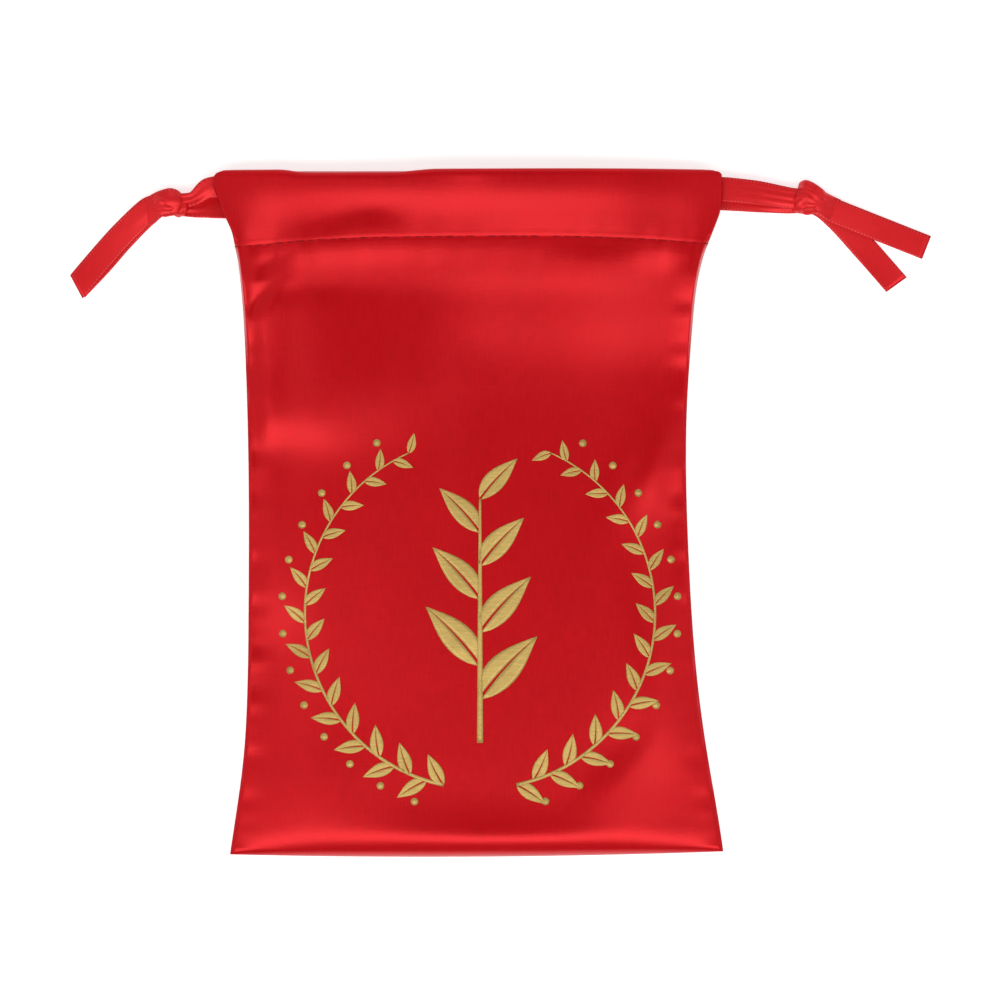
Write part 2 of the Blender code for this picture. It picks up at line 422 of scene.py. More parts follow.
@dataclass(frozen=True)
class RibbonFinish(SatinFinish):
    """Satin ribbon, with a dotted woven selvedge.

    Its map runs 0 to 1 across the ribbon, and in metres along it.
    """

    ribs: Scale = (26.0, 500.0, 1.0)
    slub: Scale = (2.0, 160.0, 1.0)
    wear: Scale = (5.0, 90.0, 1.0)
    wear_contrast: float = 2.4
    wear_level: float = 0.7
    selvedge: Colour = (0.34, 0.002, 0.005, 1.0)
    dot: Colour = (0.92, 0.10, 0.10, 1.0)
    dot_pitch: float = 0.00092
    edge_at: float = 0.43
    edge_sharpness: float = 20.0

    def weave(self, finish: Finish) -> tuple[Signal, Signal]:
        """The ribbon's lengthwise threads, and its broad unevenness."""
        return finish.noise(finish.place("UV", self.ribs)), finish.noise(finish.place("UV", self.slub))

    def build(self) -> bpy.types.Material:
        """Makes the ribbon's material.

        Returns:
            The material.
        """
        finish = Finish(self.name)
        threads, colour = self.base(finish)
        across, length = finish.split(finish.place("UV"))
        from_edge = (across - 0.5).size() - self.edge_at
        on_edge = (1.0 - (from_edge * self.edge_sharpness).size()).clamped()
        wear = finish.noise(finish.place("UV", self.wear), 1.0) * self.wear_contrast - self.wear_level
        dots = (length * (math.tau / self.dot_pitch)).sine().clamped() * on_edge * wear.clamped()
        lined = finish.blend(on_edge * 0.5, colour, self.selvedge)
        edged = finish.blend(dots, lined, self.dot)
        self.dress(finish, edged, (threads * 0.6 + 0.2 + dots * 0.4).clamped())
        return finish.material


@dataclass(frozen=True)
class ThreadFinish:
    """Twisted sewing thread, with painted shade in the grooves of its twist."""

    name: str
    colour: Colour
    shadow: float = 0.6
    twist: float = 5200.0
    strand_depth: float = 0.00004

    def build(self) -> bpy.types.Material:
        """Makes the thread's material.

        Returns:
            The material.
        """
        finish = Finish(self.name)
        x, y = finish.split(finish.place("Object"))
        # Painted shade: the grooves between the twisted strands are coloured darker by the shadow factor.
        strand = ((x + y) * self.twist).sine() * 0.5 + 0.5
        dark = tuple(channel * self.shadow for channel in self.colour[:3])
        finish.shade(
            Base_Color=finish.blend(strand, (*dark, 1.0), self.colour),
            Roughness=0.55,
            Specular_IOR_Level=0.15,
            Normal=finish.relief(strand, self.strand_depth),
        )
        return finish.material


@dataclass(frozen=True)
class GoldInkFinish:
    """Matte gold ink printed on the satin: grainy, with the weave showing through."""

    name: str
    light: Colour
    deep: Colour
    grain: Scale = (3200.0, 3200.0, 1.0)
    rows: Scale = (200.0, 2200.0, 1.0)
    patches: Scale = (90.0, 90.0, 90.0)
    grain_depth: float = 0.00005

    def build(self) -> bpy.types.Material:
        """Makes the ink's material.

        Returns:
            The material.
        """
        finish = Finish(self.name)
        fine = finish.noise(finish.place("Object", self.grain), 2.0, 0.7)
        rows = finish.noise(finish.place("Object", self.rows), 1.0)
        patch = finish.noise(finish.place("Object", self.patches))
        share = ((fine - 0.5) * 1.6 + (rows - 0.5) * 0.8 + patch).clamped()
        finish.shade(
            Base_Color=finish.blend(share, self.deep, self.light),
            Metallic=0.55,
            Roughness=0.62 - fine * 0.2,
            Normal=finish.relief(fine, self.grain_depth),
        )
        return finish.material


@dataclass(frozen=True)
class FloorFinish:
    """A plain pale sheet, lit a little from below as a light table is."""

    name: str
    colour: Colour
    glow: float = 0.55
    tooth: Scale = (900.0, 900.0, 900.0)
    tooth_depth: float = 0.00001

    def build(self) -> bpy.types.Material:
        """Makes the floor's material.

        Returns:
            The material.
        """
        finish = Finish(self.name)
        tooth = finish.noise(finish.place("Object", self.tooth))
        finish.shade(
            Base_Color=self.colour,
            Roughness=0.8,
            Normal=finish.relief(tooth, self.tooth_depth),
            Emission_Color=(1.0, 1.0, 1.0, 1.0),
            Emission_Strength=self.glow,
        )
        return finish.material


# --------------------------------------------------------------------------------------------------
# Meshes
# --------------------------------------------------------------------------------------------------


def mesh_object(name: str, points: Array, faces: Sequence, material: bpy.types.Material) -> bpy.types.Object:
    """An object from points in millimetres.

    Args:
        name: The object's name.
        points: One point to a row, in millimetres.
        faces: Each face's corners, as places in the rows.
        material: Its only material.

    Returns:
        The object, in the scene, shaded smooth.
    """
    data = bpy.data.meshes.new(name)
    data.from_pydata(metres(points).tolist(), [], [list(map(int, face)) for face in faces])
    data.materials.append(material)
    data.shade_smooth()
    made = bpy.data.objects.new(name, data)
    bpy.context.scene.collection.objects.link(made)
    return made


def grid_faces(rows: int, columns: int) -> Array:
    """The quads of a grid whose points are listed row by row."""
    first = (np.arange(rows - 1)[:, None] * columns + np.arange(columns - 1)[None, :]).ravel()
    return np.stack([first, first + 1, first + columns + 1, first + columns], axis=1)


def map_points(made: bpy.types.Object, places: Array) -> None:
    """Gives each point of a mesh its place on the piece's own map.

    Args:
        made: The piece.
        places: Each point's place on the map, one to a row.
    """
    layer = made.data.uv_layers.new(name="UVMap")
    corners = np.empty(len(made.data.loops), int)
    made.data.loops.foreach_get("vertex_index", corners)
    layer.data.foreach_set("uv", np.asarray(places, float)[corners].ravel())


def thicken(made: bpy.types.Object, thickness: float, offset: float = 0.0) -> bpy.types.Object:
    """Turns an open sheet into thin closed cloth.

    Args:
        made: The sheet.
        thickness: How thick it gets, in millimetres.
        offset: 0 grows it to both sides, -1 to its back.

    Returns:
        The same object.
    """
    modifier = made.modifiers.new("thickness", "SOLIDIFY")
    modifier.thickness = thickness / 1000
    modifier.offset = offset
    modifier.use_even_offset = False
    return settled(made)


def settled(made: bpy.types.Object) -> bpy.types.Object:
    """Makes an object's modifiers part of its mesh, and removes them.

    Args:
        made: The object.

    Returns:
        The same object.
    """
    graph = bpy.context.evaluated_depsgraph_get()
    data = bpy.data.meshes.new_from_object(made.evaluated_get(graph), depsgraph=graph)
    made.modifiers.clear()
    made.data = data
    return made


def facing_out(made: bpy.types.Object) -> bpy.types.Object:
    """Turns the faces of a closed mesh outwards.

    Args:
        made: The object with the mesh.

    Returns:
        The same object.
    """
    shape = bmesh.new()
    shape.from_mesh(made.data)
    bmesh.ops.recalc_face_normals(shape, faces=shape.faces[:])
    shape.to_mesh(made.data)
    shape.free()
    return made


# --------------------------------------------------------------------------------------------------
# Geometry Nodes
# --------------------------------------------------------------------------------------------------


class Repeat(Tree):
    """A Geometry Nodes tree that repeats a small shape along a line."""

    def __init__(self, name: str, sizes: dict[str, float]) -> None:
        """Starts a tree with a geometry, a material and these sizes as its inputs.

        Args:
            name: The tree's name.
            sizes: Its sizes and what they are unless a piece says otherwise. `Pitch` is the spacing.
        """
        group = bpy.data.node_groups.new(name, "GeometryNodeTree")
        super().__init__(group)
        self.ids: dict[str, str] = {}
        face = group.interface
        face.new_socket("Geometry", in_out="INPUT", socket_type="NodeSocketGeometry")
        for size, value in sizes.items():
            made = face.new_socket(size, in_out="INPUT", socket_type="NodeSocketFloat")
            made.default_value = value
            self.ids[size] = made.identifier
        material = face.new_socket("Material", in_out="INPUT", socket_type="NodeSocketMaterial")
        self.ids["Material"] = material.identifier
        face.new_socket("Geometry", in_out="OUTPUT", socket_type="NodeSocketGeometry")
        self.inputs = self.node("NodeGroupInput").outputs

    def size(self, name: str) -> Signal:
        """One of the tree's sizes."""
        return self.signal(self.inputs[name])

    def finish(self, shape: bpy.types.NodeSocket, **placing: bpy.types.NodeSocket) -> None:
        """Stands a real copy of the shape, in the material, at every pitch of the line.

        Args:
            shape: The small shape.
            placing: The copies' Rotation and Scale, where they have any.
        """
        line = self.node("GeometryNodeMeshToCurve", None, {0: self.inputs["Geometry"]}).outputs[0]
        sockets = {"Curve": line, "Length": self.size("Pitch")}
        spaced = self.node("GeometryNodeResampleCurve", {"mode": "LENGTH"}, sockets).outputs[0]
        sockets = {"Points": spaced, "Instance": shape, **placing}
        instances = self.node("GeometryNodeInstanceOnPoints", None, sockets).outputs[0]
        real = self.node("GeometryNodeRealizeInstances", None, {0: instances}).outputs[0]
        smooth = self.node("GeometryNodeSetShadeSmooth", None, {0: real}).outputs[0]
        sockets = {"Geometry": smooth, "Material": self.inputs["Material"]}
        dressed = self.node("GeometryNodeSetMaterial", None, sockets).outputs[0]
        output = self.node("NodeGroupOutput")
        self.tree.links.new(dressed, output.inputs[0])

    def along(self, name: str, line: Array, material: bpy.types.Material, **sizes: float) -> bpy.types.Object:
        """Runs the tree on a line.

        Args:
            name: The new piece's name.
            line: The line's points in millimetres.
            material: What the shapes are made of.
            sizes: Sizes that differ from the tree's own, with underscores for spaces.

        Returns:
            The piece, as a plain mesh.
        """
        data = bpy.data.meshes.new(name)
        edges = [(i, i + 1) for i in range(len(line) - 1)]
        data.from_pydata(metres(line).tolist(), edges, [])
        made = bpy.data.objects.new(name, data)
        bpy.context.scene.collection.objects.link(made)
        modifier = made.modifiers.new(name, "NODES")
        modifier.node_group = self.tree
        modifier[self.ids["Material"]] = material
        for size, value in sizes.items():
            modifier[self.ids[size.replace("_", " ")]] = value
        return settled(made)


def stitch_tree() -> Repeat:
    """Rounded stitches laid end to end, with a needle hole's gap between them.

    Returns:
        The tree.
    """
    tree = Repeat("stitches", {"Pitch": 0.0028, "Length": 0.0024, "Radius": 0.00015})
    ball = tree.node("GeometryNodeMeshUVSphere", None, {"Segments": 8, "Rings": 6, "Radius": 1.0}).outputs[0]
    scale = tree.vector(tree.size("Length") * 0.5, tree.size("Radius"), tree.size("Radius"))
    stitch = tree.node("GeometryNodeTransform", None, {"Geometry": ball, "Scale": scale}).outputs[0]
    tangent = tree.node("GeometryNodeInputTangent").outputs[0]
    turn = tree.node("FunctionNodeAlignRotationToVector", {"axis": "X"}, {"Vector": tangent}).outputs[0]
    tree.finish(stitch, Rotation=turn)
    return tree


def berry_tree() -> Repeat:
    """Round spots along a line.

    Returns:
        The tree.
    """
    tree = Repeat("berries", {"Pitch": 0.0092, "Radius": 0.0010})
    sockets = {"Vertices": 16, "Radius": tree.size("Radius")}
    tree.finish(tree.node("GeometryNodeMeshCircle", {"fill_type": "TRIANGLE_FAN"}, sockets).outputs[0])
    return tree


def leaf_tree() -> Repeat:
    """Pointed leaves in turn on either side of a stem, smaller towards its tip.

    Returns:
        The tree.
    """
    sizes = {"Pitch": 0.0046, "Length": 0.0090, "Width": 0.0036, "Vein": 0.0002, "Splay": 0.7, "Taper": 0.4}
    tree = Repeat("leaves", sizes)
    sockets = {"Size X": 1.0, "Size Y": 1.0, "Vertices X": 11, "Vertices Y": 5}
    sheet = tree.node("GeometryNodeMeshGrid", None, sockets).outputs[0]
    reach, side = (part + 0.5 for part in tree.split(tree.node("GeometryNodeInputPosition").outputs[0]))
    belly = ((reach**0.8) * math.pi).sine().maths("MAXIMUM", 0.02)
    bend = reach * reach * tree.size("Width") * 0.35
    half = side * belly * tree.size("Width") * 0.5 + (1.0 - reach) * tree.size("Vein")
    lobes = []
    for way in (1.0, -1.0):
        outline = tree.vector(reach * tree.size("Length"), half * way + bend)
        sockets = {"Geometry": sheet, "Position": outline}
        lobes.append(tree.node("GeometryNodeSetPosition", None, sockets).outputs[0])
    lobes[1] = tree.node("GeometryNodeFlipFaces", None, {"Mesh": lobes[1]}).outputs[0]
    joined = tree.node("GeometryNodeJoinGeometry")
    for lobe in reversed(lobes):
        tree.feed(joined.inputs[0], lobe)
    index = tree.signal(tree.node("GeometryNodeInputIndex").outputs[0])
    side_of_stem = index.maths("MODULO", 2.0) * 2.0 - 1.0
    run, rise = tree.split(tree.node("GeometryNodeInputTangent").outputs[0])
    turn = tree.vector(z=rise.maths("ARCTAN2", run) + side_of_stem * tree.size("Splay"))
    share = tree.signal(tree.node("GeometryNodeSplineParameter").outputs[0])
    size = 1.0 - share * tree.size("Taper")
    tree.finish(joined.outputs[0], Rotation=turn, Scale=tree.vector(size, size * side_of_stem, 1.0))
    return tree


# --------------------------------------------------------------------------------------------------
# The pouch's form
# --------------------------------------------------------------------------------------------------


@dataclass(frozen=True)
class Lean:
    """An oval place where the front cloth climbs (or, below zero, drops) towards the mouth."""

    x: float
    y: float
    half_x: float
    half_y: float
    slope: float
    turn: float = 0.0

    def at(self, x: Array, y: Array) -> Array:
        """The slope that this place adds.

        Args:
            x: Places across the cloth.
            y: Their places along it.

        Returns:
            The slope at each.
        """
        angle = math.radians(self.turn)
        along = (x - self.x) * math.cos(angle) + (y - self.y) * math.sin(angle)
        over = (y - self.y) * math.cos(angle) - (x - self.x) * math.sin(angle)
        return self.slope * np.exp(-((along / self.half_x) ** 2) - (over / self.half_y) ** 2)


# Added up along the cloth, these make the folds that the gathering, the hem and the sewn sides press into it.
LEANS = (
    Lean(4, 82.0, 80, 6, 0.28),
    Lean(-55, 80.0, 9, 7, 0.16),
    Lean(57, 79.0, 8, 7, 0.12),
    Lean(22, 75.5, 42, 3.4, 0.14),
    Lean(-56, 74.0, 5, 4, 0.20),
    Lean(-35.5, 76.0, 12.5, 2.2, -0.20, 11.5),
    Lean(-24, 77.0, 5, 2.6, -0.16, -12),
    Lean(0, 88, 6, 3, 0.08),
    Lean(-33, 68.0, 30, 4.2, 0.11),
    Lean(4, 68.6, 66, 4.0, 0.14),
    Lean(54, 68.5, 9, 4, 0.20),
    Lean(-57, 69.0, 8, 3, 0.22),
    Lean(33, 69.0, 10, 2.2, -0.16),
    Lean(50, 66, 9, 4, 0.08),
    Lean(2, 61.5, 60, 5, 0.16),
    Lean(2, 50, 15, 12, 0.12),
    Lean(-54.4, 64.8, 6.5, 1.3, -0.60, 26),
    Lean(-55, 60.5, 8, 2.4, 0.28),
    Lean(-55.0, 56.0, 7.5, 2.0, -0.70, 50),
    Lean(-41, 57.4, 14, 2.8, -0.18, -4),
    Lean(-58.5, 60, 3, 4, 0.16),
    Lean(-36, 46, 24, 9, -0.04),
    Lean(28, 49, 34, 15, 0.19),
    Lean(-50, 21.5, 18, 6, 0.20, -8),
    Lean(-56, 20, 6, 5, 0.20),
    Lean(-24, 25, 16, 8, 0.07),
    Lean(45, 14, 17, 4.5, -0.20, 50),
    Lean(52, 6, 12, 9, 0.29, 40),
    Lean(-44, 3, 12, 9, -0.06),
    Lean(-52, -27, 9, 10, 0.15),
    Lean(52, -20, 8, 9, -0.05),
    Lean(-39, -62, 24, 12, -0.05),
    Lean(52, -62, 14, 18, 0.18),
    Lean(38, -66, 13, 3.2, -0.16, 45),
    Lean(12, -81, 22, 5, -0.22),
    Lean(-18, -80, 20, 6, -0.10),
)


@dataclass
class PouchForm:
    """Where the pouch's cloth lies: its outline, and the heights of its front and back.

    The belly is the front's height at its middle, and the climb is how fast it grows towards the hem. The
    hem's heights are over its lift. A square is how squarely a height holds before it falls: to the fold, to
    the side edges or to the hem's two ends.
    """

    fold_y: float
    top_y: float
    seam_y: float
    half_width: float
    belly: float = 11.4
    climb: float = 0.02
    belly_y: float = -10.0
    fold_top: float = 3.2
    edge_top: float = 2.0
    seam_height: float = 1.7
    edge_lift: float = 0.9
    hem_lift: float = 1.1
    hem_middle: float = 9.6
    hem_side: float = 5.2
    hem_reach: float = 66.5
    hem_start: float = 34.0
    fold_square: float = 18.0
    side_square: float = 2.3
    hem_square: float = 3.0
    back_start: float = 56.0
    casing_room: float = 2.2
    rest: float = 0.16
    seam_gap: float = 0.14
    hem_pucker: float = 0.10
    side_pucker: float = 0.12
    stitch_pull: float = 0.12
    leans: tuple[Lean, ...] = LEANS
    grid_step: float = 1.0
    grid_x: Array = field(init=False)
    grid_y: Array = field(init=False)
    folds: Array = field(init=False)

    def __post_init__(self) -> None:
        """Adds the leans up along the cloth into heights."""
        reach = self.half_width + 4
        self.grid_x = np.arange(-reach, reach + self.grid_step, self.grid_step)
        self.grid_y = np.arange(self.fold_y, self.top_y + self.grid_step, self.grid_step)
        x, y = np.meshgrid(self.grid_x, self.grid_y)
        slope = sum(lean.at(x, y) for lean in self.leans)
        heights = np.cumsum(slope, axis=0) * self.grid_step
        share = (y - self.fold_y) / (self.top_y - self.fold_y)
        self.folds = heights - heights[-1][None, :] * share

    @classmethod
    def from_frame(cls) -> "PouchForm":
        """The form that fills the frame's own bag.

        Returns:
            The form.
        """
        low, high = (np.asarray(corner) * 1000 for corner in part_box("satin_bag"))
        seam_low, seam_high = (np.asarray(corner) * 1000 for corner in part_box("hem_thread_front"))
        seam_y = (seam_low[1] + seam_high[1]) / 2
        return cls(fold_y=low[1], top_y=high[1], seam_y=seam_y, half_width=(high[0] - low[0]) / 2)

    def left(self, y: Array) -> Array:
        """X of the left edge.

        Args:
            y: Places along the cloth.

        Returns:
            The edge's x at each.
        """
        knots = (-90, -78, -66, -49, -23, 9, 43, 62, 69.7, 73, 75.7, 78, 80.2, 82.8, 84.8, 87, 90)
        reach = (62.9, 61.1, 59.5, 58.4, 58.0, 58.0, 58.9, 60.1, 61.0,
                 61.5, 62.1, 63.2, 64.4, 65.6, 66.4, 66.9, 66.9)
        return -spline(knots, reach, y)

    def right(self, y: Array) -> Array:
        """X of the right edge.

        Args:
            y: Places along the cloth.

        Returns:
            The edge's x at each.
        """
        knots = (-90, -80, -68, -49, -30, -10, 10, 30, 50, 63, 70, 76, 80, 84, 90)
        reach = (66.9, 65.4, 63.4, 60.6, 58.8, 57.7, 57.1, 57.4, 58.8, 60.3, 62.0, 64.2, 65.8, 66.4, 66.1)
        return spline(knots, reach, y)

    def ends(self, x: Array, y: Array) -> Array:
        """How far the fold, the stitch line and the top edge stray from straight lines.

        Args:
            x: Places across the cloth.
            y: Their places along it.

        Returns:
            How far each lies further towards the mouth.
        """
        share = x / self.half_width
        at_fold = -0.5 + 1.0 * share**2 + 0.35 * share
        at_seam = 0.5 - 2.8 * np.abs(share) ** 2.6 + 0.5 * share
        at_top = 0.3 * share * (1 - share**2) - 0.7 * eased(-x, self.half_width - 1.4, self.half_width + 0.4)
        return (
            at_fold * (1 - eased(y, self.fold_y, self.fold_y + 30))
            + at_seam * eased(y, self.seam_y - 34, self.seam_y) * (1 - eased(y, self.seam_y, self.top_y - 2))
            + at_top * eased(y, self.seam_y, self.top_y)
        )

    def from_middle(self, x: Array, y: Array) -> Array:
        """0 in the middle and 1 on the side edges."""
        left, right = self.left(y), self.right(y)
        return np.clip(np.abs(2 * x - left - right) / (right - left), 0.0, 1.0)

    def fold_height(self, x: Array, y: Array) -> Array:
        """The soft folds of the front, read off their grid.

        Args:
            x: Places across the cloth.
            y: Their places along it.

        Returns:
            The folds' height at each.
        """
        column = np.clip((x - self.grid_x[0]) / self.grid_step, 0, len(self.grid_x) - 1.001)
        row = np.clip((y - self.grid_y[0]) / self.grid_step, 0, len(self.grid_y) - 1.001)
        i, j = row.astype(int), column.astype(int)
        down, right = row - i, column - j
        top = mixed(self.folds[i, j], self.folds[i, j + 1], right)
        return mixed(top, mixed(self.folds[i + 1, j], self.folds[i + 1, j + 1], right), down)

    def puckers(self, x: Array, y: Array) -> Array:
        """The small ripples that the stitches and the side seams draw into the cloth.

        Args:
            x: Places across the cloth.
            y: Their places along it.

        Returns:
            The ripples' height at each.
        """
        along = np.sin(x * 1.13 + 0.6) + 0.7 * np.sin(x * 0.71 + 2.1) + 0.5 * np.sin(x * 1.93 + 4.0)
        at_hem = self.hem_pucker * along * bump(y, self.seam_y - 1.0, 4.5)
        beside = self.from_middle(x, y)
        down = np.sin(y * 0.62 + 1.0) + 0.8 * np.sin(y * 0.37 + 3.0) + 0.5 * np.sin(y * 1.1)
        beside_seam = eased(beside, 0.86, 0.99) * (1 - eased(y, self.seam_y - 8, self.seam_y))
        return at_hem + self.side_pucker * down * beside_seam

    def groove(self, y: Array) -> Array:
        """How far the stitch line pulls the hem down."""
        return self.stitch_pull * (bump(y, self.seam_y, 0.45) + bump(y, self.seam_y, 2.2))

    def front(self, x: Array, y: Array) -> Array:
        """The height of the front cloth.

        Args:
            x: Places across the cloth.
            y: Their places along it.

        Returns:
            The cloth's middle there: the stuffed panel, the hem above it, and their folds.
        """
        x, y = np.broadcast_arrays(np.asarray(x, float), np.asarray(y, float))
        across = self.from_middle(x, y)
        to_fold = np.clip((self.belly_y - y) / (self.belly_y - self.fold_y), 0.0, 1.0)
        belly = self.belly + self.climb * np.minimum(y, self.hem_start)
        crown = mixed(self.fold_top, belly, (1 - to_fold**self.fold_square) ** 0.6)
        panel = mixed(self.edge_top, crown, (1 - across**self.side_square) ** 0.8)
        hem_share = np.clip(np.abs(x) / self.hem_reach, 0.0, 1.0)
        hem = self.hem_lift + mixed(self.hem_side, self.hem_middle, 1 - hem_share**self.hem_square)
        base = mixed(panel, hem, eased(y, self.hem_start, self.seam_y - 2))
        held = (1 - across**10) * eased(y, self.fold_y, self.fold_y + 10)
        loose = mixed(held, 1 - hem_share**8, eased(y, self.seam_y - 6, self.seam_y + 4))
        top = 1 - eased(y, self.top_y - 3, self.top_y)
        return base + self.fold_height(x, y) * loose * top + self.puckers(x, y) - self.groove(y)

    def back(self, x: Array, y: Array) -> Array:
        """The height of the back cloth.

        Args:
            x: Places across the cloth.
            y: Their places along it.

        Returns:
            The cloth's middle there. It lies on the table, and lifts at the edges and the hem.
        """
        x, y = np.broadcast_arrays(np.asarray(x, float), np.asarray(y, float))
        across = self.from_middle(x, y)
        edge = self.edge_lift * eased(across, 0.62, 1.0)
        fold = self.edge_lift * eased(-y, -self.fold_y - 8, -self.fold_y)
        table = mixed(np.maximum(edge, fold), self.hem_lift, eased(y, self.back_start, self.seam_y - 3))
        return table + self.rest + 0.4 * self.groove(y)


# --------------------------------------------------------------------------------------------------
# The bag
# --------------------------------------------------------------------------------------------------


@dataclass
class SatinBag:
    """The bag's one cloth: front casing, front, bottom fold, back and back casing, seamed up the sides."""

    form: PouchForm
    finish: SatinFinish
    flat_width: float = 0.140
    turn: float = 1.1
    fold_turn: float = 1.6
    tuck_to: float = -1.5
    allowance: float = 4.5
    allowance_drop: float = 0.36
    allowance_steps: int = 4
    inner_gap: float = 0.32
    columns: int = 92
    crowding: float = 0.82
    hidden_step: float = 0.75
    inner_rows: int = 14
    outer_rows: int = 17
    stitch_rows: int = 16
    panel_rows: int = 112
    fold_rows: int = 12
    stitch_zone: float = 3.0
    fold_zone: float = 12.0
    dip_x: tuple[float, float, float, float] = (-50.0, -42.0, -20.0, -8.0)
    dip_depth: float = 9.0
    inner_reach: float = 57.5
    front_dip: float = 0.8

    def rows(self) -> tuple[Array, Array, Array]:
        """The cloth's rows, from the front casing's hidden edge round to the back casing's.

        Returns:
            Each row's y, whether it belongs to the front (1) or the back (0), and how far it is tucked
            inside, up to 1 on a casing's inner side.
        """
        form = self.form
        seam, top = form.seam_y, form.top_y - self.turn
        near, zone = self.stitch_zone, self.fold_zone
        hidden = np.arange(seam + self.tuck_to, seam + near, self.hidden_step)
        inner = np.concatenate([hidden, np.linspace(seam + near, top, self.inner_rows)])
        turn = np.radians(np.linspace(-90, 90, 7)[1:-1])
        to_turn = 1 - np.linspace(0.06, 1, self.fold_rows)
        outer = np.concatenate([
            np.linspace(top, seam + near + 0.2, self.outer_rows),
            np.linspace(seam + near - 0.2, seam - near - 0.2, self.stitch_rows),
            np.linspace(seam - near - 0.8, form.fold_y + zone, self.panel_rows),
            form.fold_y + self.fold_turn + (zone - self.fold_turn) * to_turn**1.4,
        ])
        fold = np.radians(np.linspace(90, -90, 9)[1:-1])
        half_y = np.concatenate([inner, top + self.turn * np.cos(turn), outer])
        tuck = np.concatenate([np.ones(len(inner)), (1 - np.sin(turn)) / 2, np.zeros(len(outer))])
        fold_y = form.fold_y + self.fold_turn * (1 - np.cos(fold))
        y = np.concatenate([half_y, fold_y, half_y[::-1]])
        front = np.concatenate([np.ones(len(half_y)), (1 + np.sin(fold)) / 2, np.zeros(len(half_y))])
        return y, front, np.concatenate([tuck, np.zeros(len(fold)), tuck[::-1]])

    def lines(self) -> tuple[Array, Array]:
        """The cloth's columns.

        Returns:
            Each column's place from -1 on the left edge to 1 on the right, and how much of it is turned in.
        """
        share = np.linspace(0, 1, self.columns)
        main = 2 * (share - self.crowding * np.sin(math.tau * share) / math.tau) - 1
        inward = np.arange(1, self.allowance_steps + 1) / self.allowance_steps
        return (
            np.concatenate([-np.ones(len(inward)), main, np.ones(len(inward))]),
            np.concatenate([inward[::-1], np.zeros(len(main)), inward]),
        )

    def surface(self) -> tuple[Array, Array]:
        """The cloth's middle surface.

        Returns:
            Its points in millimetres and their places on the flat cloth in metres, each as rows by columns.
        """
        form = self.form
        row_y, front, tuck = (column[:, None] for column in self.rows())
        share, inward = (line[None, :] for line in self.lines())
        left, right = form.left(row_y), form.right(row_y)
        reach = np.where(share < 0, -left, right)
        inner = np.minimum(reach, self.inner_reach)
        reach = mixed(reach, inner, tuck)
        middle = (left + right) / 2 * (1 - tuck)
        x = mixed(middle, np.sign(share) * reach, np.abs(share)) - np.sign(share) * inward * self.allowance
        y = row_y + np.zeros_like(x)
        in_casing = eased(y, form.seam_y, form.seam_y + 6)
        room = mixed(self.inner_gap, form.casing_room, in_casing)
        turned = np.minimum(inward * 3, 1.0)
        front_z = form.front(x, y) - tuck * room
        back_z = form.back(x, y) + tuck * room
        tucked = self.allowance_drop * turned * (1 - tuck * (1 + in_casing))
        slit = eased(y, form.seam_y - 5, form.seam_y + 3)
        sewn = eased(np.abs(share), 0.985, 1.0) * (1 - slit)
        front_seam, back_seam = form.seam_height + form.seam_gap, form.seam_height - form.seam_gap
        front_z = mixed(mixed(front_z, front_seam, sewn), front_z - tucked, slit * turned)
        back_z = mixed(mixed(back_z, back_seam, sewn), back_z + tucked, slit * turned)
        z = mixed(back_z, front_z, front)
        from_x, full_x, fading_x, to_x = self.dip_x
        dip = eased(x, from_x, full_x) * (1 - eased(x, fading_x, to_x))
        dip = dip * eased(row_y, form.top_y - self.dip_depth, form.top_y)
        placed_y = y + form.ends(x, y) - self.front_dip * dip * front
        flat_y = np.cumsum(np.r_[0, np.hypot(np.diff(row_y[:, 0]), np.diff(z[:, z.shape[1] // 2]))])
        flat = np.stack([x, flat_y[:, None] + np.zeros_like(x)], axis=-1)
        return np.stack([x, placed_y, z], axis=-1), metres(flat)

    def build(self) -> bpy.types.Object:
        """Makes the sewn cloth.

        Returns:
            The piece.
        """
        points, flat = self.surface()
        rows, columns = points.shape[:2]
        faces = grid_faces(rows, columns)[:, ::-1]
        made = mesh_object("satin_bag_cloth", points.reshape(-1, 3), faces, self.finish.build())
        map_points(made, flat.reshape(-1, 2))
        thicken(made, CLOTH)
        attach(made, BODY)
        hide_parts("satin_bag")
        return made


